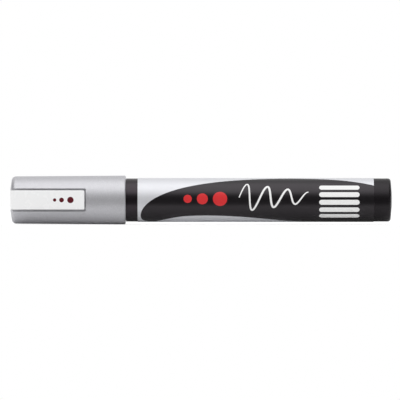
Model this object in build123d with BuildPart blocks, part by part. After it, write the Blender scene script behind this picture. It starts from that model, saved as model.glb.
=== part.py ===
from build123d import *
import os
from math import cos, pi, sin, sqrt

# Liquid chalk marker with a sprung valve behind a bullet nib, lying along X with its cap on.
# The cap points to -X, the tail to +X, and the pocket clip faces -Y.
# The origin is on the axis, half way along the printed barrel. Sizes are in millimetres.

# Barrel, wrapped label and tail plug
barrel_length = 85.7
barrel_diameter = 15.64
barrel_wall = 1.15
label_thickness = 0.12
label_glue_gap = 0.01
label_margin = 0.15
label_seam = 0.25
tail_length = 6.4
tail_crown = 0.45
tail_flat_radius = 3.0
tail_edge_chamfer = 0.7
tail_end_wall = 1.5
plug_depth = 7.0
plug_wall = 1.1
plug_clearance = 0.15
plug_ring_height = 0.1
plug_ring_width = 0.8

# Front section: spigot in the barrel, visible collar, neck for the cap, and nose
spigot_depth = 9.0
spigot_clearance = 0.06
spigot_wall = 0.81
collar_length = 4.05
neck_length = 10.75
neck_step = 0.45
neck_chamfer = 0.5
bead_setback = 4.25
bead_height = 0.2
bead_width = 1.4
nose_shoulder = 2.27
nose_base_length = 3.0
cone_length = 7.5
nose_tip_length = 4.5
nose_tip_wall = 1.5
nose_tip_chamfer = 0.5
nose_guide_length = 9.5
gallery_gap = 1.05
vent_count = 4
vent_width = 0.7
vent_depth = 0.4

# Nib, a rod of pressed fibre with a bullet tip
nib_diameter = 4.5
nib_length = 21.0
nib_cone_length = 3.2
nib_end_radius = 1.15
nib_end_round = 0.9
nib_tail_chamfer = 0.4
nib_exposure = 7.0
nib_clearance = 0.05
nib_travel = 2.0

# Valve: soft seat, rod with a conical head, coil spring and the cage that holds them
valve_fit = 0.05
seat_thickness = 2.5
seat_hole_radius = 1.6
seat_cone_length = 1.2
seat_cone_radius = 2.6
shoulder_to_tail = 4.65
rod_pin_radius = 1.2
rod_nib_gap = 0.05
rod_tip_chamfer = 0.3
head_clearance = 0.06
head_radius = 2.8
head_length = 1.6
stop_radius = 1.5
stop_clearance = 0.1
guide_clearance = 0.15
guide_overrun = 0.3
cage_length = 15.5
cage_wall = 1.0
cage_base_thickness = 1.2
port_count = 4
port_radius = 0.9
port_edge = 0.25
spring_wire = 0.5
spring_mean_radius = 2.15
spring_turns = 5
spring_wire_sides = 6
spring_end_gap = 0.05

# Mixing ball, lying in the ink chamber near the tail
ball_diameter = 4.0
ball_clearance = 0.1
ball_plug_gap = 0.4

# Cap shell
cap_gap = 0.15
cap_clearance = 0.1
cap_rim_wall = 1.16
cap_rim_chamfer = 0.3
cap_draft = 0.26
cap_end_wall = 1.5
cap_flat_radius = 4.35
cap_crown = 0.65
cap_corner_round = 1.6
detent_depth = 0.12
detent_width = 1.8

# Inner cap, the cup that seals round the nose
seal_clearance = 0.1
seal_height = 0.35
seal_setback = 0.6
seal_width = 1.0
inner_cap_wall = 0.65
inner_cap_fit = 0.05
inner_cap_end = 0.8
flange_gap = 0.35
flange_thickness = 1.0
flange_clearance = 0.07
nib_air = 5.0
boss_height = 1.4
boss_gap = 0.4
boss_wall = 1.1

# Pocket clip, let into a flat recess of the cap and rooted through the cap's end
clip_length = 26.75
clip_width = 6.95
clip_thickness = 1.5
clip_taper = 0.2
clip_lift = 0.9
clip_setback = 0.15
clip_root_length = 2.7
clip_root_round = 0.9
clip_corner = 0.5
clip_edge = 0.4
clip_leg_thickness = 1.35
clip_bump_length = 2.4
clip_bump_height = 0.6
clip_bump_setback = 0.6
recess_wall = 0.85
recess_side_gap = 0.7
recess_tip_gap = 0.45
recess_corner = 0.5
recess_mouth_setback = 1.0
recess_mouth_round = 0.5
notch_clearance = 0.05
peg_radius = 1.1
peg_clearance = 0.05
peg_end_gap = 0.3

# Radii that follow
barrel_radius = barrel_diameter / 2
bore_radius = barrel_radius - barrel_wall
label_inner_radius = barrel_radius + label_glue_gap
plug_radius = bore_radius - plug_clearance
spigot_radius = bore_radius - spigot_clearance
chamber_radius = spigot_radius - spigot_wall
neck_radius = barrel_radius - neck_step
nib_radius = nib_diameter / 2
nib_bore_radius = nib_radius + nib_clearance
gallery_radius = nib_radius + gallery_gap
nose_tip_radius = nib_bore_radius + nose_tip_wall
nose_base_radius = neck_radius - nose_shoulder
insert_radius = chamber_radius - valve_fit
cage_inner_radius = insert_radius - cage_wall
port_circle_radius = cage_inner_radius - port_edge - port_radius
guide_radius = rod_pin_radius + guide_clearance
ball_radius = ball_diameter / 2
cap_mouth_radius = neck_radius + bead_height + cap_clearance
cap_rim_radius = cap_mouth_radius + cap_rim_wall
cap_end_radius = cap_rim_radius - cap_draft
seal_radius = nose_base_radius + seal_clearance
inner_mouth_radius = seal_radius + seal_height
inner_land_radius = inner_mouth_radius + inner_cap_wall
cap_bore_radius = inner_land_radius + inner_cap_fit
boss_bore_radius = peg_radius + peg_clearance

# Stations along X that follow, from the barrel's two ends outwards
barrel_front = -barrel_length / 2
barrel_rear = barrel_length / 2
tail_end = barrel_rear + tail_length
plug_end = barrel_rear - plug_depth
spigot_end = barrel_front + spigot_depth
collar_front = barrel_front - collar_length
neck_front = collar_front - neck_length
base_front = neck_front - nose_base_length
cone_front = base_front - cone_length
nose_end = cone_front - nose_tip_length
guide_end = nose_end + nose_guide_length
nib_tip = nose_end - nib_exposure
nib_tail = nib_tip + nib_length
seat_front = nib_tail + shoulder_to_tail
seat_rear = seat_front + seat_thickness
cage_end = seat_rear + cage_length
cage_base = cage_end - cage_base_thickness
bead_x = collar_front - bead_setback
cap_rim = collar_front - cap_gap
flange_front = neck_front - flange_gap
cap_step = flange_front - flange_thickness
inner_end_inside = nib_tip - nib_air
inner_end = inner_end_inside - inner_cap_end
boss_end = inner_end - boss_height
cap_end_inside = boss_end - boss_gap
cap_end = cap_end_inside - cap_end_wall

# Places across the cap where the clip sits, measured outwards along -Y
recess_floor = cap_bore_radius + recess_wall
clip_under = recess_floor + clip_lift
clip_root_outer = clip_under + clip_thickness
clip_tip_outer = clip_root_outer - clip_taper
clip_end = cap_end + clip_setback
clip_tip = clip_end + clip_length
recess_end = clip_tip + recess_tip_gap


def outline(*corners):
    """A closed outline of straight sides, drawn as (station along X, radius)."""
    with BuildSketch(Plane.XZ) as drawn:
        with BuildLine():
            Polyline(*corners, close=True)
        make_face()
    return drawn.sketch


def corner_at(drawn, place):
    """The corner of a drawn outline that is nearest to a place."""
    return drawn.vertices().sort_by_distance(place)[0]


# Barrel: a plain tube
with BuildPart() as barrel:
    revolve(
        outline(
            (barrel_front, bore_radius),
            (barrel_front, barrel_radius),
            (barrel_rear, barrel_radius),
            (barrel_rear, bore_radius),
        ),
        axis=Axis.X,
    )

# Label film: wrapped once round the barrel, its two ends meeting in a seam at the back
with BuildPart() as label_film:
    revolve(
        outline(
            (barrel_front + label_margin, label_inner_radius),
            (barrel_front + label_margin, label_inner_radius + label_thickness),
            (barrel_rear - label_margin, label_inner_radius + label_thickness),
            (barrel_rear - label_margin, label_inner_radius),
        ),
        axis=Axis.X,
    )
    with Locations((0, barrel_radius, 0)):
        Box(barrel_length, 2 * barrel_wall, label_seam, mode=Mode.SUBTRACT)

# Tail plug: a crowned head with a broken edge, and a hollow spigot with a sealing ring
with BuildPart() as tail_plug:
    crown_edge = (tail_end - tail_crown, barrel_radius)
    ring_x = (plug_end + barrel_rear) / 2
    ring_radius = plug_radius + plug_ring_height
    with BuildSketch(Plane.XZ) as tail_half:
        with BuildLine():
            Polyline(
                (tail_end, 0),
                (tail_end, tail_flat_radius),
                crown_edge,
                (barrel_rear, barrel_radius),
                (barrel_rear, plug_radius),
                (ring_x + plug_ring_width / 2, plug_radius),
                (ring_x + plug_ring_width / 2, ring_radius),
                (ring_x - plug_ring_width / 2, ring_radius),
                (ring_x - plug_ring_width / 2, plug_radius),
                (plug_end, plug_radius),
                (plug_end, plug_radius - plug_wall),
                (tail_end - tail_end_wall, plug_radius - plug_wall),
                (tail_end - tail_end_wall, 0),
                close=True,
            )
        make_face()
        chamfer(corner_at(tail_half, crown_edge), tail_edge_chamfer)
    revolve(axis=Axis.X)

# Front section: one moulding from the spigot to the nib guide, with a snap bead for the cap
with BuildPart() as front_section:
    with BuildSketch(Plane.XZ) as front_half:
        with BuildLine():
            Polyline(
                (spigot_end, chamber_radius),
                (spigot_end, spigot_radius),
                (barrel_front, spigot_radius),
                (barrel_front, barrel_radius),
                (collar_front, barrel_radius),
                (collar_front, neck_radius),
                (bead_x + bead_width / 2, neck_radius),
                (bead_x, neck_radius + bead_height),
                (bead_x - bead_width / 2, neck_radius),
                (neck_front, neck_radius),
                (neck_front, nose_base_radius),
                (base_front, nose_base_radius),
                (cone_front, nose_tip_radius),
                (nose_end, nose_tip_radius),
                (nose_end, nib_bore_radius),
                (guide_end, nib_bore_radius),
                (guide_end, gallery_radius),
                (seat_front, gallery_radius),
                (seat_front, chamber_radius),
                close=True,
            )
        make_face()
        chamfer(corner_at(front_half, (neck_front, neck_radius)), neck_chamfer)
        chamfer(corner_at(front_half, (nose_end, nose_tip_radius)), nose_tip_chamfer)
    revolve(axis=Axis.X)
    with BuildSketch(Plane.YZ.offset(nose_end)):
        with PolarLocations(nib_bore_radius, vent_count):
            Rectangle(2 * vent_depth, vent_width)
    extrude(amount=nose_guide_length, mode=Mode.SUBTRACT)

# Nib: a fibre rod, coned and rounded at its tip, chamfered at its tail
with BuildPart() as nib:
    with BuildSketch(Plane.XZ) as nib_half:
        with BuildLine():
            Polyline(
                (nib_tip, 0),
                (nib_tip, nib_end_radius),
                (nib_tip + nib_cone_length, nib_radius),
                (nib_tail, nib_radius),
                (nib_tail, 0),
                close=True,
            )
        make_face()
        fillet(corner_at(nib_half, (nib_tip, nib_end_radius)), nib_end_round)
        chamfer(corner_at(nib_half, (nib_tail, nib_radius)), nib_tail_chamfer)
    revolve(axis=Axis.X)

# Valve seat: a soft washer against the front section's shoulder, coned on its rear side
seat_cone_front = seat_rear - seat_cone_length
with BuildPart() as valve_seat:
    revolve(
        outline(
            (seat_front, seat_hole_radius),
            (seat_front, insert_radius),
            (seat_rear, insert_radius),
            (seat_rear, seat_cone_radius),
            (seat_cone_front, seat_hole_radius),
        ),
        axis=Axis.X,
    )

# Valve rod: pin behind the nib, head that closes the seat, stop shoulder and guide pin
cone_slope = (seat_cone_radius - seat_hole_radius) / seat_cone_length
head_cone_x = seat_cone_front + head_clearance
head_front = head_cone_x + (rod_pin_radius - seat_hole_radius) / cone_slope
head_full = head_cone_x + (head_radius - seat_hole_radius) / cone_slope
head_rear = head_full + head_length
stop_x = cage_base - nib_travel - stop_clearance
rod_front = nib_tail + rod_nib_gap
rod_end = cage_end + guide_overrun
with BuildPart() as valve_rod:
    revolve(
        outline(
            (rod_front, 0),
            (rod_front, rod_pin_radius - rod_tip_chamfer),
            (rod_front + rod_tip_chamfer, rod_pin_radius),
            (head_front, rod_pin_radius),
            (head_full, head_radius),
            (head_rear, head_radius),
            (head_rear, stop_radius),
            (stop_x, stop_radius),
            (stop_x, rod_pin_radius),
            (rod_end - rod_tip_chamfer, rod_pin_radius),
            (rod_end, rod_pin_radius - rod_tip_chamfer),
            (rod_end, 0),
        ),
        axis=Axis.X,
    )

# Spring cage: a cup behind the seat, with ink ports round the rod's guide hole
with BuildPart() as spring_cage:
    revolve(
        outline(
            (seat_rear, cage_inner_radius),
            (seat_rear, insert_radius),
            (cage_end, insert_radius),
            (cage_end, guide_radius),
            (cage_base, guide_radius),
            (cage_base, cage_inner_radius),
        ),
        axis=Axis.X,
    )
    with BuildSketch(Plane.YZ.offset(cage_base)):
        with PolarLocations(port_circle_radius, port_count):
            Circle(port_radius)
    extrude(amount=cage_base_thickness, mode=Mode.SUBTRACT)

# Valve spring: a steel helix between the rod's head and the cage, as arcs of a quarter turn
spring_start = head_rear + spring_end_gap + spring_wire / 2
spring_finish = cage_base - spring_end_gap - spring_wire / 2
quarter_rise = (spring_finish - spring_start) / (4 * spring_turns)


def coil_point(quarters):
    """The wire's centre after so many quarter turns, and the way that it runs there."""
    angle = quarters * pi / 2
    radius = spring_mean_radius
    place = Vector(spring_start + quarters * quarter_rise, radius * cos(angle), radius * sin(angle))
    way = Vector(2 * quarter_rise / pi, -radius * sin(angle), radius * cos(angle))
    return place, way.normalized()


def arc_meeting(place, way, next_place, next_way):
    """Where two arcs meet that leave one point and reach the next along the given ways."""
    chord = next_place - place
    both = chord.dot(way + next_way)
    bend = 2 * (1 - way.dot(next_way))
    reach = (sqrt(both**2 + bend * chord.dot(chord)) - both) / bend
    near_corner = place + way * reach
    far_corner = next_place - next_way * reach
    return (near_corner + far_corner) * 0.5, far_corner - near_corner


with BuildPart() as valve_spring:
    with BuildLine() as coil:
        for quarter in range(4 * spring_turns):
            place, way = coil_point(quarter)
            next_place, next_way = coil_point(quarter + 1)
            meeting, meeting_way = arc_meeting(place, way, next_place, next_way)
            TangentArc(place, meeting, tangent=way)
            TangentArc(meeting, next_place, tangent=meeting_way)
    first_place, first_way = coil_point(0)
    with BuildSketch(Plane(origin=first_place, z_dir=first_way)):
        RegularPolygon(spring_wire / 2, spring_wire_sides)
    sweep(path=coil.wire())

# The gap between a turn and the next, measured on points one turn apart or nearly so
samples_per_quarter = 12
coil_points = [
    coil_point(step / samples_per_quarter)[0]
    for step in range(4 * spring_turns * samples_per_quarter + 1)
]
nearest_apart = 2 * samples_per_quarter
least_gap = min(
    (coil_points[later] - coil_points[earlier]).length - spring_wire
    for earlier in range(len(coil_points))
    for later in range(earlier + nearest_apart, len(coil_points))
)
print(f"valve_spring least gap to itself {least_gap:.2f} mm")

# Mixing ball: lies at the bottom of the bore, close to the tail plug
with BuildPart() as mixing_ball:
    ball_x = plug_end - ball_plug_gap - ball_radius
    ball_z = ball_radius + ball_clearance - bore_radius
    with Locations((ball_x, 0, ball_z)):
        Sphere(ball_radius)

# Cap shell: drafted, crowned and rounded at its closed end, opened out at its mouth
with BuildPart() as cap_shell:
    with BuildSketch(Plane.XZ) as cap_half:
        with BuildLine():
            cap_corner = (cap_end + cap_crown, cap_end_radius)
            Polyline(
                (cap_end, 0),
                (cap_end, cap_flat_radius),
                cap_corner,
                (cap_rim, cap_rim_radius),
                (cap_rim, cap_mouth_radius),
                (bead_x + detent_width / 2, cap_mouth_radius),
                (bead_x, cap_mouth_radius + detent_depth),
                (bead_x - detent_width / 2, cap_mouth_radius),
                (cap_step, cap_mouth_radius),
                (cap_step, cap_bore_radius),
                (cap_end_inside, cap_bore_radius),
                (cap_end_inside, 0),
                close=True,
            )
        make_face()
        fillet(corner_at(cap_half, cap_corner), cap_corner_round)
        chamfer(cap_half.vertices().group_by(Axis.X)[-1], cap_rim_chamfer)
    revolve(axis=Axis.X)
    # Flat recess under the clip, open at the closed end, where its mouth is rounded outwards
    with BuildSketch(Plane.XZ.offset(recess_floor)) as recess:
        recess_width = clip_width + 2 * recess_side_gap
        recess_start = cap_end - cap_end_wall
        mouth_x = cap_end + recess_mouth_setback
        with Locations(((recess_start + recess_end) / 2, 0)):
            Rectangle(recess_end - recess_start, recess_width)
        fillet(recess.vertices().group_by(Axis.X)[-1], recess_corner)
        with Locations(((recess_start + mouth_x) / 2, 0)):
            Rectangle(mouth_x - recess_start, recess_width + 4 * recess_mouth_round)
        mouth_corners = [
            recess.vertices().sort_by_distance((mouth_x, side * recess_width / 2))[0]
            for side in (-1, 1)
        ]
        fillet(mouth_corners, recess_mouth_round)
    extrude(amount=clip_root_outer, mode=Mode.SUBTRACT)
    # Notch through the end wall for the clip's leg
    with BuildSketch(Plane.YZ.offset(cap_end)):
        notch_width = clip_width + 2 * notch_clearance
        Circle(notch_width / 2)
        with Locations((-recess_floor / 2, 0)):
            Rectangle(recess_floor, notch_width)
    extrude(amount=cap_end_wall, mode=Mode.SUBTRACT)

# Pocket clip: a tapered arm over the recess, a root that turns into the cap's end, and a peg
with BuildPart() as pocket_clip:
    with BuildSketch(Plane.XY) as clip_side:
        with BuildLine():
            root_x = clip_end + clip_root_length
            leg_x = clip_end + clip_leg_thickness
            bump_end = clip_tip - clip_bump_setback
            bump_start = bump_end - clip_bump_length
            bump_top = ((bump_start + bump_end) / 2, clip_bump_height - clip_under)
            ThreePointArc((bump_start, -clip_under), bump_top, (bump_end, -clip_under))
            Polyline(
                (bump_end, -clip_under),
                (clip_tip, -clip_under),
                (clip_tip, -clip_tip_outer),
                (clip_end, -clip_root_outer),
                (clip_end, -recess_floor),
                (root_x, -recess_floor),
                (root_x, -clip_under),
                (bump_start, -clip_under),
            )
        make_face()
        fillet(corner_at(clip_side, (clip_end, -clip_root_outer)), clip_root_round)
    extrude(amount=clip_width / 2, both=True)
    tip_corners = pocket_clip.edges().filter_by(Axis.Y).group_by(Axis.X)[-1]
    fillet(tip_corners, clip_corner)
    outer_face = pocket_clip.faces().filter_by(GeomType.PLANE).sort_by(Axis.Y)[0]
    long_edges = outer_face.edges().sort_by(Axis.X)[1:]
    fillet(long_edges, clip_edge)
    # The leg, round at its end, lies in the notch of the cap's end wall
    with BuildSketch(Plane.YZ.offset(clip_end)):
        Circle(clip_width / 2)
        with Locations((-recess_floor / 2, 0)):
            Rectangle(recess_floor, clip_width)
    extrude(amount=clip_leg_thickness)
    with BuildSketch(Plane.YZ.offset(leg_x)):
        Circle(peg_radius)
    extrude(amount=inner_end - peg_end_gap - leg_x)

# Inner cap: flange on the cap's step, seal bead, straight cup and a boss for the clip's peg
with BuildPart() as inner_cap:
    seal_rear = flange_front - seal_setback
    seal_front = seal_rear - seal_width
    flange_radius = cap_mouth_radius - flange_clearance
    boss_radius = boss_bore_radius + boss_wall
    revolve(
        outline(
            (flange_front, inner_mouth_radius),
            (flange_front, flange_radius),
            (cap_step, flange_radius),
            (cap_step, inner_land_radius),
            (inner_end, inner_land_radius),
            (inner_end, boss_radius),
            (boss_end, boss_radius),
            (boss_end, boss_bore_radius),
            (inner_end, boss_bore_radius),
            (inner_end, 0),
            (inner_end_inside, 0),
            (inner_end_inside, inner_mouth_radius),
            (seal_front - seal_height, inner_mouth_radius),
            (seal_front, seal_radius),
            (seal_rear, seal_radius),
            (seal_rear + seal_height, inner_mouth_radius),
        ),
        axis=Axis.X,
    )

os.makedirs("parts", exist_ok=True)
pieces = {
    "barrel": barrel,
    "label_film": label_film,
    "tail_plug": tail_plug,
    "front_section": front_section,
    "nib": nib,
    "valve_seat": valve_seat,
    "valve_rod": valve_rod,
    "spring_cage": spring_cage,
    "valve_spring": valve_spring,
    "mixing_ball": mixing_ball,
    "cap_shell": cap_shell,
    "pocket_clip": pocket_clip,
    "inner_cap": inner_cap,
}
for name, piece in pieces.items():
    piece.part.label = name
    export_step(piece.part, f"parts/{name}.step")
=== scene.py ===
from math import acos, cos, degrees, pi, radians, sin, tan

import bpy
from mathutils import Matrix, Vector
from mathutils.geometry import delaunay_2d_cdt


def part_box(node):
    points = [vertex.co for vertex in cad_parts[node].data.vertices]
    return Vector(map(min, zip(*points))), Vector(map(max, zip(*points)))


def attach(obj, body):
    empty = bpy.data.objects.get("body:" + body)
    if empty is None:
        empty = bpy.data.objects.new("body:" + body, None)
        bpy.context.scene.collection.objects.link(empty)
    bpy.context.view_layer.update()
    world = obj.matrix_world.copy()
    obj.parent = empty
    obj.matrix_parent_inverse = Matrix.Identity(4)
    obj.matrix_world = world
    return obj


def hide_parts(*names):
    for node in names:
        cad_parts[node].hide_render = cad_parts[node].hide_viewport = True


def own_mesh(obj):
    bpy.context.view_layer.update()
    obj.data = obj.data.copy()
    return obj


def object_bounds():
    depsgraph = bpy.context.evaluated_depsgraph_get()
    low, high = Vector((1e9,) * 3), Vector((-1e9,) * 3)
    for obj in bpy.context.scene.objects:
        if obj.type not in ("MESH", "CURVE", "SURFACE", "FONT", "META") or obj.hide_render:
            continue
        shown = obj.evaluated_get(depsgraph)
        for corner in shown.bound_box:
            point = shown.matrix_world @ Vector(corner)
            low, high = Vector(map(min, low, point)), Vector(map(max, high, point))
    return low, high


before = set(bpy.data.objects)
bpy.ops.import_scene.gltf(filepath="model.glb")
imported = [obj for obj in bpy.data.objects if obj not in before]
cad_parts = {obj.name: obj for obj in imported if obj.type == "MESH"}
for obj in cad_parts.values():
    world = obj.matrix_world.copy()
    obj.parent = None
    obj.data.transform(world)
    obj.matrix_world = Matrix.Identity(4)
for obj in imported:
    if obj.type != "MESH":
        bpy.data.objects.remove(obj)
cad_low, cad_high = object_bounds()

# A liquid chalk marker lying along X: its cap points to -X and its pocket clip faces -Y.
# Lengths are in metres, apart from places on the print, which are in millimetres, x along the marker.
# An angle on the label is in degrees, 0 along -Y, positive upwards, and 180 at the seam on the far side.
MM = 0.001

# Edges that turn by more degrees than this stay crisp
CRISP_ANGLE = 32.0

# Places read from the frame
label_low, label_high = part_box("label_film")
barrel_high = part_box("barrel")[1]
tail_low, tail_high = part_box("tail_plug")
clip_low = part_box("pocket_clip")[0]
spring_low, spring_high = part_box("valve_spring")
label_radius = label_high.z
label_radius_mm = label_radius / MM
film_start = label_low.x / MM
film_end = label_high.x / MM

# Wrapped label, with the gap at its seam in millimetres and lines along it every few degrees
FILM_THICKNESS = 0.12 * MM
FILM_SEAM = 0.25
FILM_STEP = 2.0
# Division of its outer face: only faces inside the outlines, and points this near are joined
FACES_INSIDE = 1
FILM_WELD = 1e-6

# Dark field of the print: a quarter of a superellipse up to its crest, then a parabola to the tail
NOSE_X = -41.6
NOSE_ANGLE = -46.0
CREST_X = 10.5
CREST_ANGLE = 76.8
SHOULDER_X_POWER = 1.3
SHOULDER_ANGLE_POWER = 2.33
TAIL_FALL = 35.5
# Lower edge of the dark field: a parabola towards the tail and a cubic towards the nose
BELLY_X = -17.8
BELLY_ANGLE = -45.1
BELLY_BEND = 0.031
BELLY_TURN = 0.005
CHIN_X = -36.8

# Motifs of the print: dots, a wave that is damped along its length, and a column of panels
DOT_CENTRES = (-24.6, -19.3, -12.9)
DOT_RADII = (1.5, 2.0, 2.6)
DOT_ANGLE = 3.0
WAVE_START = -6.0
WAVE_END = 18.6
WAVE_ANGLE = 7.0
WAVE_HEIGHT = 5.6
WAVE_DAMPING = 0.66
WAVE_PERIODS = 3.25
WAVE_LEAN = 0.2
WAVE_STROKE = 0.72
WAVE_TIP = 0.45
WAVE_OVERLAP = 0.35
PANEL_START = 22.9
PANEL_END = 37.5
PANEL_HEIGHT = 1.8
PANEL_COUNT = 5
PANEL_TOP_ANGLE = 34.4
PANEL_PITCH = 20.2

# Pad print on the pocket clip, whose outer face falls towards its tip
CLIP_FALL = 0.2
CLIP_LENGTH = 26.75
CLIP_DOT_CENTRES = (-72.6, -70.1, -66.9)
CLIP_DOT_RADII = (0.6, 0.85, 1.15)
PRINT_HEIGHT = 0.012 * MM
PRINT_ROOT = 0.01 * MM

# Tail plug
PLUG_RADIUS = 6.52 * MM
PLUG_WALL = 1.1 * MM
TAIL_END_WALL = 1.5 * MM
TAIL_CROWN = 0.45 * MM
TAIL_FLAT_RADIUS = 3.0 * MM
TAIL_FLAT_ROUND = 2.0 * MM
TAIL_ROUND = 1.0 * MM
TAIL_SEAM_ROUND = 0.12 * MM
TAIL_BORE_ROUND = 0.5 * MM
PLUG_ROUND = 0.3 * MM

# Valve spring
SPRING_WIRE = 0.5 * MM
SPRING_RADIUS = 2.15 * MM
SPRING_TURNS = 6
SPRING_CLOSED_TURNS = 0.9
SPRING_CLOSED_PITCH = 0.56 * MM

# Camera: a long lens, square on to the marker's side
PHOTO_WIDTH = 144.9 * MM
CAMERA_X = -20.14 * MM
CAMERA_LENS = 600.0
CAMERA_SENSOR = 36.0
CAMERA_REACH = 100.0

# Studio: light levels, and the angles in degrees at which each lobe is aimed, ends and is full
HORIZON_LIGHT = 0.92
ZENITH_LIGHT = 1.19
WALL_LIGHT = 0.71
BACKDROP_EDGE = 36.0
BACKDROP_CORE = 15.0
SOFTBOX_LIGHT = 1.18
SOFTBOX_ANGLE = 67.0
SOFTBOX_EDGE = 46.5
SOFTBOX_CORE = 8.0
FRONT_ANGLE = 4.0
FRONT_EDGE = 44.5
FRONT_CORE = 11.0
FRONT_SHADE = 0.9
SIDE_EDGE = 62.0
SIDE_CORE = 25.0
SIDE_SHADE = 0.95
FLOOR_ALBEDO = 0.88
FLOOR_WHITENING = 0.2
FLOOR_MIRRORED = 0.02
FLOOR_REACH = 6.0
FLOOR_FRONT = 0.021

# Tints of the gloss
WHITE = (1.0, 1.0, 1.0, 1)
ROSE_GREY = (1.0, 0.86, 0.98, 1)
FAINT_ROSE = (1.0, 0.93, 1.0, 1)


# Material helpers

def new_material(name, **sockets):
    """A material, its node tree and its shader, with the named sockets set."""
    made = bpy.data.materials.new(name)
    made.use_nodes = True
    tree = made.node_tree
    shader = tree.nodes["Principled BSDF"]
    for socket, value in sockets.items():
        shader.inputs[socket.replace("_", " ")].default_value = value
    return made, tree, shader


def grain(tree, size, stretch=(1, 1, 1), detail=3.0):
    """Soft noise on the piece's own coordinates, with features of about the given size."""
    place = tree.nodes.new("ShaderNodeTexCoord")
    scale = tree.nodes.new("ShaderNodeMapping")
    scale.inputs["Scale"].default_value = [1 / (size * along) for along in stretch]
    noise = tree.nodes.new("ShaderNodeTexNoise")
    noise.inputs["Scale"].default_value = 1.0
    noise.inputs["Detail"].default_value = detail
    tree.links.new(place.outputs["Object"], scale.inputs["Vector"])
    tree.links.new(scale.outputs["Vector"], noise.inputs["Vector"])
    return noise.outputs["Fac"]


def flakes(tree, size):
    """A random value for each small cell of the given size."""
    place = tree.nodes.new("ShaderNodeTexCoord")
    cells = tree.nodes.new("ShaderNodeTexVoronoi")
    cells.inputs["Scale"].default_value = 1 / size
    split = tree.nodes.new("ShaderNodeSeparateColor")
    tree.links.new(place.outputs["Object"], cells.inputs["Vector"])
    tree.links.new(cells.outputs["Color"], split.inputs["Color"])
    return split.outputs["Red"]


def tint(tree, shader, value, low, high):
    """Runs the base colour from low to high with a value."""
    ramp = tree.nodes.new("ShaderNodeValToRGB")
    ramp.color_ramp.elements[0].color = (*low, 1)
    ramp.color_ramp.elements[1].color = (*high, 1)
    tree.links.new(value, ramp.inputs["Fac"])
    tree.links.new(ramp.outputs["Color"], shader.inputs["Base Color"])


def gloss(tree, shader, value, low, high):
    """Runs the roughness from low to high with a value."""
    spread = tree.nodes.new("ShaderNodeMapRange")
    spread.inputs["To Min"].default_value = low
    spread.inputs["To Max"].default_value = high
    tree.links.new(value, spread.inputs["Value"])
    tree.links.new(spread.outputs["Result"], shader.inputs["Roughness"])


def relief(tree, shader, value, height):
    """Raises the surface by a height with a value."""
    bump = tree.nodes.new("ShaderNodeBump")
    bump.inputs["Distance"].default_value = height
    bump.inputs["Strength"].default_value = 1.0
    tree.links.new(value, bump.inputs["Height"])
    tree.links.new(bump.outputs["Normal"], shader.inputs["Normal"])


# Materials

def silver_cap():
    made, tree, shader = new_material("cap_flake_silver", Metallic=0.63)
    tint(tree, shader, flakes(tree, size=0.11 * MM), low=(0.492, 0.490, 0.516), high=(0.651, 0.648, 0.676))
    gloss(tree, shader, grain(tree, size=6 * MM), low=0.43, high=0.51)
    relief(tree, shader, grain(tree, size=0.25 * MM), height=0.004 * MM)
    return made


def black_plastic(name, specular, rough, shine):
    made, tree, shader = new_material(name, Specular_IOR_Level=specular, Specular_Tint=shine)
    tint(tree, shader, grain(tree, size=3 * MM), low=(0.0034, 0.0025, 0.0033), high=(0.0052, 0.004, 0.0051))
    gloss(tree, shader, grain(tree, size=1.2 * MM), *rough)
    relief(tree, shader, grain(tree, size=0.2 * MM), height=0.002 * MM)
    return made


def white_plastic():
    made, tree, shader = new_material("clip_white_plastic")
    tint(tree, shader, grain(tree, size=6 * MM), low=(0.885, 0.887, 0.89), high=(0.90, 0.902, 0.903))
    gloss(tree, shader, grain(tree, size=2 * MM), low=0.24, high=0.3)
    relief(tree, shader, grain(tree, size=0.5 * MM), height=0.001 * MM)
    return made


def natural_plastic():
    made, tree, shader = new_material("natural_plastic", Subsurface_Weight=0.25, Subsurface_Scale=1.0 * MM)
    tint(tree, shader, grain(tree, size=5 * MM), low=(0.80, 0.80, 0.77), high=(0.87, 0.87, 0.845))
    gloss(tree, shader, grain(tree, size=1 * MM), low=0.35, high=0.5)
    relief(tree, shader, grain(tree, size=0.25 * MM), height=0.004 * MM)
    return made


def nib_fibre():
    made, tree, shader = new_material("nib_pressed_fibre", Sheen_Weight=0.25)
    strands = grain(tree, size=0.16 * MM, stretch=(9, 1, 1), detail=5.0)
    tint(tree, shader, strands, low=(0.66, 0.65, 0.60), high=(0.92, 0.91, 0.88))
    gloss(tree, shader, strands, low=0.75, high=0.95)
    relief(tree, shader, strands, height=0.05 * MM)
    return made


def soft_seat():
    made, tree, shader = new_material("seat_elastomer")
    tint(tree, shader, grain(tree, size=1.5 * MM), low=(0.055, 0.055, 0.058), high=(0.085, 0.085, 0.088))
    gloss(tree, shader, grain(tree, size=0.5 * MM), low=0.6, high=0.75)
    relief(tree, shader, grain(tree, size=0.1 * MM), height=0.006 * MM)
    return made


def bright_steel():
    made, tree, shader = new_material("bright_steel", Metallic=1.0)
    drawn = grain(tree, size=0.05 * MM, stretch=(1, 1, 8))
    tint(tree, shader, drawn, low=(0.52, 0.52, 0.53), high=(0.66, 0.66, 0.665))
    gloss(tree, shader, drawn, low=0.16, high=0.3)
    relief(tree, shader, drawn, height=0.001 * MM)
    return made


def printed(name, low, high, metallic=0.0, rough=(0.26, 0.36), speck=0.12 * MM, shine=WHITE):
    """Ink on the film under a clear gloss."""
    made, tree, shader = new_material(name, Metallic=metallic, Specular_Tint=shine)
    tint(tree, shader, grain(tree, size=speck), low, high)
    gloss(tree, shader, grain(tree, size=2.5 * MM), *rough)
    relief(tree, shader, grain(tree, size=0.8 * MM), height=0.004 * MM)
    return made


# Mesh helpers

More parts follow.
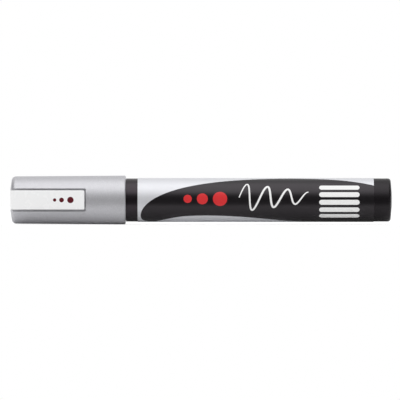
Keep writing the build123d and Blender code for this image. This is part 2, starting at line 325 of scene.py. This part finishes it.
def new_piece(name, verts, faces, materials, face_materials=None):
    """A mesh object in the scene, smooth over gentle angles."""
    mesh = bpy.data.meshes.new(name)
    mesh.from_pydata(verts, [], faces)
    for made in materials:
        mesh.materials.append(made)
    if face_materials:
        mesh.polygons.foreach_set("material_index", face_materials)
    mesh.shade_smooth()
    mesh.set_sharp_from_angle(angle=radians(CRISP_ANGLE))
    piece = bpy.data.objects.new(name, mesh)
    bpy.context.scene.collection.objects.link(piece)
    return piece


def softened(corners, steps=7):
    """The points of an outline of (x, radius, rounding) corners, with an arc at each rounded one.
    slerp gives unit vectors, so each is multiplied by the rounding."""
    points = []
    for index, (x, r, rounding) in enumerate(corners):
        here = Vector((x, r))
        if not rounding:
            points.append(here)
            continue
        before = (Vector(corners[index - 1][:2]) - here).normalized()
        after = (Vector(corners[index + 1][:2]) - here).normalized()
        half = acos(before.dot(after)) / 2
        centre = here + (before + after).normalized() * (rounding / sin(half))
        start = here + before * (rounding / tan(half)) - centre
        finish = here + after * (rounding / tan(half)) - centre
        for step in range(steps + 1):
            points.append(centre + start.slerp(finish, step / steps) * rounding)
    return points


def turned(name, outline, material, sides=96):
    """A closed solid made by turning an outline, from axis to axis, about X."""
    verts = []
    rings = []
    for x, r in outline:
        count = sides if r > 0 else 1
        rings.append(range(len(verts), len(verts) + count))
        for side in range(count):
            angle = 2 * pi * side / sides
            verts.append((x, -r * cos(angle), r * sin(angle)))
    faces = []
    for one, two in zip(rings, rings[1:]):
        for side in range(sides):
            corners = (
                one[side % len(one)],
                one[(side + 1) % sides % len(one)],
                two[(side + 1) % sides % len(two)],
                two[side % len(two)],
            )
            face = tuple(dict.fromkeys(corners))
            if len(face) > 2:
                faces.append(face)
    return new_piece(name, verts, faces, [material])


# Outlines on the label, as lists of (x, arc) in millimetres

def arc(angle):
    """The length round the label from the camera's side to an angle."""
    return radians(angle) * label_radius_mm


def belly_angle(x):
    """The lower edge of the dark field, which wraps on under the barrel at both ends."""
    away = x - BELLY_X
    if away > 0:
        return BELLY_ANGLE - BELLY_BEND * away ** 2
    return BELLY_ANGLE + BELLY_TURN * away ** 3


def dark_field(steps=48):
    """The printed field: over its crest from the tail to the nose, and back along its belly."""
    span = film_end - CREST_X
    crest = [
        (film_end - span * step / steps, CREST_ANGLE - TAIL_FALL * (1 - step / steps) ** 2)
        for step in range(steps)
    ]
    rise = CREST_ANGLE - NOSE_ANGLE
    shoulder = [
        (
            CREST_X - (CREST_X - NOSE_X) * sin(pi / 2 * step / steps) ** (2 / SHOULDER_X_POWER),
            NOSE_ANGLE + rise * cos(pi / 2 * step / steps) ** (2 / SHOULDER_ANGLE_POWER),
        )
        for step in range(steps)
    ]
    nose = [
        (
            CHIN_X - (CHIN_X - NOSE_X) * cos(pi / 2 * step / steps),
            NOSE_ANGLE + (belly_angle(CHIN_X) - NOSE_ANGLE) * sin(pi / 2 * step / steps),
        )
        for step in range(steps)
    ]
    belly = []
    for step in range(steps + 1):
        x = CHIN_X + (film_end - CHIN_X) * step / steps
        belly.append((x, belly_angle(x)))
    return [(x, arc(angle)) for x, angle in crest + shoulder + nose + belly]


def disc(x, height, radius, steps=40):
    """A round dot."""
    return [
        (x + radius * cos(2 * pi * step / steps), height + radius * sin(2 * pi * step / steps))
        for step in range(steps)
    ]


def round_bar(start, end, height, thickness, steps=14):
    """A bar along X with half-round ends."""
    radius = thickness / 2
    points = []
    for centre, turn in ((end - radius, -pi / 2), (start + radius, pi / 2)):
        for step in range(steps + 1):
            angle = turn + pi * step / steps
            points.append((centre + radius * cos(angle), height + radius * sin(angle)))
    return points


def wave_place(share):
    """The middle of the drawn wave at a share of its length."""
    swing = WAVE_HEIGHT * (1 - WAVE_DAMPING * share) * sin(2 * pi * WAVE_PERIODS * share)
    x = WAVE_START + (WAVE_END - WAVE_START) * share + WAVE_LEAN * swing
    return Vector((x, arc(WAVE_ANGLE) + swing))


def wave_strokes(steps=220):
    """The drawn wave as short overlapping strokes, thinner towards its ends."""
    strokes = []
    for step in range(steps):
        one = wave_place(step / steps)
        two = wave_place((step + 1) / steps)
        share = (step + 0.5) / steps
        half = WAVE_STROKE / 2 * (WAVE_TIP + (1 - WAVE_TIP) * sin(pi * share) ** 0.5)
        along = (two - one).normalized() * (half * WAVE_OVERLAP)
        across = Vector((-along.y, along.x)).normalized() * half
        corners = (one - along - across, two + along - across, two + along + across, one - along + across)
        strokes.append([tuple(corner) for corner in corners])
    return strokes


def panels():
    """A column of bare white panels."""
    return [
        round_bar(PANEL_START, PANEL_END, arc(PANEL_TOP_ANGLE - PANEL_PITCH * panel), PANEL_HEIGHT)
        for panel in range(PANEL_COUNT)
    ]


def wrapped_label(materials, layers):
    """The film as one closed shell, its outer face divided along the outlines of the print.
    Each layer is a material's index and its outlines, and a later layer covers an earlier one."""
    edge = pi * label_radius_mm - FILM_SEAM / 2
    flat = [[(film_start, -edge), (film_end, -edge), (film_end, edge), (film_start, edge)]]
    face_layer = [0]
    for index, outlines in layers:
        flat += outlines
        face_layer += [index] * len(outlines)
    points = []
    faces = []
    for outline in flat:
        faces.append(list(range(len(points), len(points) + len(outline))))
        points += [Vector(point) for point in outline]
    lines = []
    line_count = int(degrees(edge / label_radius_mm) / FILM_STEP)
    for line in range(-line_count, line_count + 1):
        lines.append((len(points), len(points) + 1))
        points += [Vector((film_start, arc(line * FILM_STEP))), Vector((film_end, arc(line * FILM_STEP)))]
    flat_verts, _, triangles, _, _, sources = delaunay_2d_cdt(
        points, lines, faces, FACES_INSIDE, FILM_WELD,
    )
    verts = []
    for radius in (label_radius, label_radius - FILM_THICKNESS):
        for x, height in flat_verts:
            angle = height / label_radius_mm
            verts.append((x * MM, -radius * cos(angle), radius * sin(angle)))
    inner = len(flat_verts)
    lining = len(materials) - 1
    shell = []
    shell_materials = []
    # Edges that only one triangle has, in order
    rim = {}
    for triangle, source in zip(triangles, sources):
        shell.append(tuple(reversed(triangle)))
        shell_materials.append(max((face_layer[face] for face in source), default=0))
        for one, two in zip(triangle, triangle[1:] + triangle[:1]):
            if (two, one) in rim:
                del rim[two, one]
            else:
                rim[one, two] = True
    for triangle in triangles:
        shell.append(tuple(corner + inner for corner in triangle))
        shell_materials.append(lining)
    for one, two in rim:
        shell.append((one, two, two + inner, one + inner))
        shell_materials.append(lining)
    return new_piece("printed_label", verts, shell, materials, shell_materials)


# Pieces

def make_label():
    silver = printed(
        "print_silver", low=(0.723, 0.729, 0.761), high=(0.820, 0.824, 0.857),
        metallic=0.6, rough=(0.52, 0.6),
    )
    black = printed(
        "print_black", low=(0.0050, 0.0042, 0.0050), high=(0.0075, 0.0062, 0.0074), shine=FAINT_ROSE,
    )
    red = printed("print_red", low=(0.62, 0.014, 0.018), high=(0.70, 0.022, 0.026))
    white = printed("print_white", low=(0.84, 0.84, 0.84), high=(0.90, 0.90, 0.90))
    film = printed("film_edge", low=(0.78, 0.79, 0.80), high=(0.86, 0.87, 0.87), speck=1 * MM)
    dots = [disc(x, arc(DOT_ANGLE), radius) for x, radius in zip(DOT_CENTRES, DOT_RADII)]
    layers = ((1, [dark_field()]), (2, dots), (3, wave_strokes() + panels()))
    piece = wrapped_label([silver, black, red, white, film], layers)
    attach(piece, "barrel")
    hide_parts("label_film")


def make_tail():
    end = tail_high.x
    radius = tail_high.z
    seat = barrel_high.x
    bore = PLUG_RADIUS - PLUG_WALL
    outline = softened([
        (end, 0, 0),
        (end, TAIL_FLAT_RADIUS, TAIL_FLAT_ROUND),
        (end - TAIL_CROWN, radius, TAIL_ROUND),
        (seat, radius, TAIL_SEAM_ROUND),
        (seat, PLUG_RADIUS, 0),
        (tail_low.x, PLUG_RADIUS, PLUG_ROUND),
        (tail_low.x, bore, PLUG_ROUND),
        (end - TAIL_END_WALL, bore, TAIL_BORE_ROUND),
        (end - TAIL_END_WALL, 0, 0),
    ])
    finish = black_plastic("tail_black_plastic", specular=0.33, rough=(0.3, 0.4), shine=FAINT_ROSE)
    piece = turned("tail_plug_soft", outline, finish)
    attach(piece, "barrel")
    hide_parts("tail_plug")


def spring_station(turn):
    """How far along its length a turn of the spring lies: close at both ends, open between."""
    length = spring_high.x - spring_low.x - SPRING_WIRE
    closed = SPRING_CLOSED_TURNS
    foot = closed * SPRING_CLOSED_PITCH
    pitch = (length - 2 * foot) / (SPRING_TURNS - 2 * closed)
    if turn < closed:
        return turn * SPRING_CLOSED_PITCH
    if turn > SPRING_TURNS - closed:
        return length - (SPRING_TURNS - turn) * SPRING_CLOSED_PITCH
    return foot + (turn - closed) * pitch


def make_spring(steps_per_turn=48, wire_sides=12):
    start = spring_low.x + SPRING_WIRE / 2
    steps = SPRING_TURNS * steps_per_turn
    verts = []
    for step in range(steps + 1):
        turn = step / steps_per_turn
        angle = 2 * pi * turn
        out = Vector((0, cos(angle), sin(angle)))
        centre = out * SPRING_RADIUS + Vector((start + spring_station(turn), 0, 0))
        for side in range(wire_sides):
            round_wire = 2 * pi * side / wire_sides
            offset = out * cos(round_wire) + Vector((1, 0, 0)) * sin(round_wire)
            verts.append(centre + offset * (SPRING_WIRE / 2))
    faces = []
    for step in range(steps):
        for side in range(wire_sides):
            beside = (side + 1) % wire_sides
            faces.append((
                step * wire_sides + side,
                step * wire_sides + beside,
                (step + 1) * wire_sides + beside,
                (step + 1) * wire_sides + side,
            ))
    faces.append(tuple(reversed(range(wire_sides))))
    faces.append(tuple(range(steps * wire_sides, (steps + 1) * wire_sides)))
    piece = new_piece("coil_spring", verts, faces, [bright_steel()])
    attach(piece, "barrel")
    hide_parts("valve_spring")
    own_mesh(piece)


def make_clip_print(steps=40):
    """Three dots of pad print, low discs on the clip's sloping outer face."""
    ink = printed("clip_red_print", low=(0.10, 0.003, 0.010), high=(0.13, 0.005, 0.014))
    slope = CLIP_FALL / CLIP_LENGTH
    verts = []
    faces = []
    for x, radius in zip(CLIP_DOT_CENTRES, CLIP_DOT_RADII):
        base = len(verts)
        for lift in (-PRINT_ROOT, PRINT_HEIGHT):
            for dot_x, dot_z in disc(x, 0, radius, steps):
                face_y = clip_low.y + slope * (dot_x * MM - clip_low.x)
                verts.append((dot_x * MM, face_y - lift, dot_z * MM))
        for step in range(steps):
            beside = (step + 1) % steps
            faces.append((base + step, base + beside, base + steps + beside, base + steps + step))
        faces.append(tuple(range(base + steps - 1, base - 1, -1)))
        faces.append(tuple(range(base + steps, base + 2 * steps)))
    piece = new_piece("clip_dots", verts, faces, [ink])
    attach(piece, "cap")


def dress_frame():
    """Gives the frame's own pieces their finishes."""
    black = black_plastic("body_black_plastic", specular=0.53, rough=(0.25, 0.34), shine=ROSE_GREY)
    natural = natural_plastic()
    finishes = {
        "cap_shell": silver_cap(),
        "pocket_clip": white_plastic(),
        "front_section": black,
        "barrel": black,
        "inner_cap": natural,
        "spring_cage": natural,
        "valve_rod": natural,
        "nib": nib_fibre(),
        "valve_seat": soft_seat(),
        "mixing_ball": bright_steel(),
    }
    for node, finish in finishes.items():
        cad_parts[node].material_slots[0].material = finish


# Stage

def sum_of(tree, value, factor, offset):
    """value times factor, plus offset, where factor and offset may be numbers or sockets."""
    node = tree.nodes.new("ShaderNodeMath")
    node.operation = "MULTIPLY_ADD"
    for socket, given in zip(node.inputs, (value, factor, offset)):
        if isinstance(given, (int, float)):
            socket.default_value = given
        else:
            tree.links.new(given, socket)
    return node.outputs["Value"]


def seen_by(tree, *rays):
    """1 for the named kinds of ray and 0 for the others."""
    path = tree.nodes.new("ShaderNodeLightPath")
    seen = 0.0
    for ray in rays:
        seen = sum_of(tree, path.outputs[ray], 1.0, seen)
    return seen


def make_floor():
    """A pale floor under the marker. It looks white from afar and keeps the marker's shadow."""
    made = bpy.data.materials.new("pale_floor")
    made.use_nodes = True
    tree = made.node_tree
    tree.nodes.clear()
    diffuse = tree.nodes.new("ShaderNodeBsdfDiffuse")
    diffuse.inputs["Color"].default_value = (FLOOR_ALBEDO, FLOOR_ALBEDO, FLOOR_ALBEDO, 1)
    glow = tree.nodes.new("ShaderNodeEmission")
    both = tree.nodes.new("ShaderNodeAddShader")
    output = tree.nodes.new("ShaderNodeOutputMaterial")
    direct = sum_of(tree, seen_by(tree, "Is Camera Ray", "Is Transmission Ray"), FLOOR_WHITENING, 0.0)
    strength = sum_of(tree, seen_by(tree, "Is Glossy Ray"), FLOOR_MIRRORED, direct)
    tree.links.new(strength, glow.inputs["Strength"])
    tree.links.new(diffuse.outputs["BSDF"], both.inputs[0])
    tree.links.new(glow.outputs["Emission"], both.inputs[1])
    tree.links.new(both.outputs["Shader"], output.inputs["Surface"])
    level = cad_low.z
    corners = [
        (x, y, level)
        for x, y in (
            (-FLOOR_REACH, -FLOOR_FRONT),
            (FLOOR_REACH, -FLOOR_FRONT),
            (FLOOR_REACH, FLOOR_REACH),
            (-FLOOR_REACH, FLOOR_REACH),
        )
    ]
    new_piece("floor", corners, [(0, 1, 2, 3)], [made])


def facing(angle):
    """The way from the marker towards the camera's side, raised by an angle."""
    return Vector((0, -cos(radians(angle)), sin(radians(angle))))


def lobe(tree, direction, aim, edge, core, soft=True):
    """1 within core degrees of a way in the sky, falling to 0 at edge degrees."""
    along = tree.nodes.new("ShaderNodeVectorMath")
    along.operation = "DOT_PRODUCT"
    along.inputs[1].default_value = aim
    fall = tree.nodes.new("ShaderNodeMapRange")
    fall.interpolation_type = "SMOOTHSTEP" if soft else "LINEAR"
    fall.inputs["From Min"].default_value = cos(radians(edge))
    fall.inputs["From Max"].default_value = cos(radians(core))
    tree.links.new(direction, along.inputs[0])
    tree.links.new(along.outputs["Value"], fall.inputs["Value"])
    return fall.outputs["Result"]


def make_light():
    """Even white light, stronger from above. Reflections see a studio: pale walls, a softbox overhead
    and the white backdrop behind, darker in front and at both ends."""
    world = bpy.data.worlds.new("studio")
    bpy.context.scene.world = world
    world.use_nodes = True
    # The world differs by the kind of ray, so it isn't sampled as one lamp
    world.cycles.sampling_method = "NONE"
    tree = world.node_tree
    direction = tree.nodes.new("ShaderNodeTexCoord").outputs["Generated"]
    front = lobe(tree, direction, facing(FRONT_ANGLE), FRONT_EDGE, FRONT_CORE)
    studio = sum_of(tree, front, -FRONT_SHADE * WALL_LIGHT, WALL_LIGHT)
    for side in (-1, 1):
        end = lobe(tree, direction, (side, 0, 0), SIDE_EDGE, SIDE_CORE)
        studio = sum_of(tree, studio, sum_of(tree, end, -SIDE_SHADE, 1.0), 0.0)
    backdrop = lobe(tree, direction, -facing(0), BACKDROP_EDGE, BACKDROP_CORE)
    studio = sum_of(tree, backdrop, 1.0 - WALL_LIGHT, studio)
    softbox = lobe(tree, direction, facing(SOFTBOX_ANGLE), SOFTBOX_EDGE, SOFTBOX_CORE)
    studio = sum_of(tree, softbox, SOFTBOX_LIGHT, studio)
    up = lobe(tree, direction, (0, 0, 1), edge=90.0, core=0.0, soft=False)
    plain = sum_of(tree, up, ZENITH_LIGHT - HORIZON_LIGHT, HORIZON_LIGHT)
    over_plain = sum_of(tree, plain, -1.0, studio)
    seen = sum_of(tree, over_plain, seen_by(tree, "Is Glossy Ray"), plain)
    to_white = sum_of(tree, seen, -1.0, 1.0)
    strength = sum_of(tree, to_white, seen_by(tree, "Is Camera Ray", "Is Transmission Ray"), seen)
    tree.links.new(strength, tree.nodes["Background"].inputs["Strength"])
    tree.nodes["Background"].inputs["Color"].default_value = (1, 1, 1, 1)


def make_camera():
    lens = bpy.data.cameras.new("camera")
    lens.lens = CAMERA_LENS
    lens.sensor_width = CAMERA_SENSOR
    lens.clip_end = CAMERA_REACH
    camera = bpy.data.objects.new("camera", lens)
    camera.location = (CAMERA_X, -PHOTO_WIDTH * CAMERA_LENS / CAMERA_SENSOR, 0)
    camera.rotation_euler = (pi / 2, 0, 0)
    bpy.context.scene.collection.objects.link(camera)
    bpy.context.scene.camera = camera


make_camera()
make_light()
make_floor()
dress_frame()
make_label()
make_tail()
make_spring()
make_clip_print()
bpy.context.scene.view_settings.view_transform = "Standard"
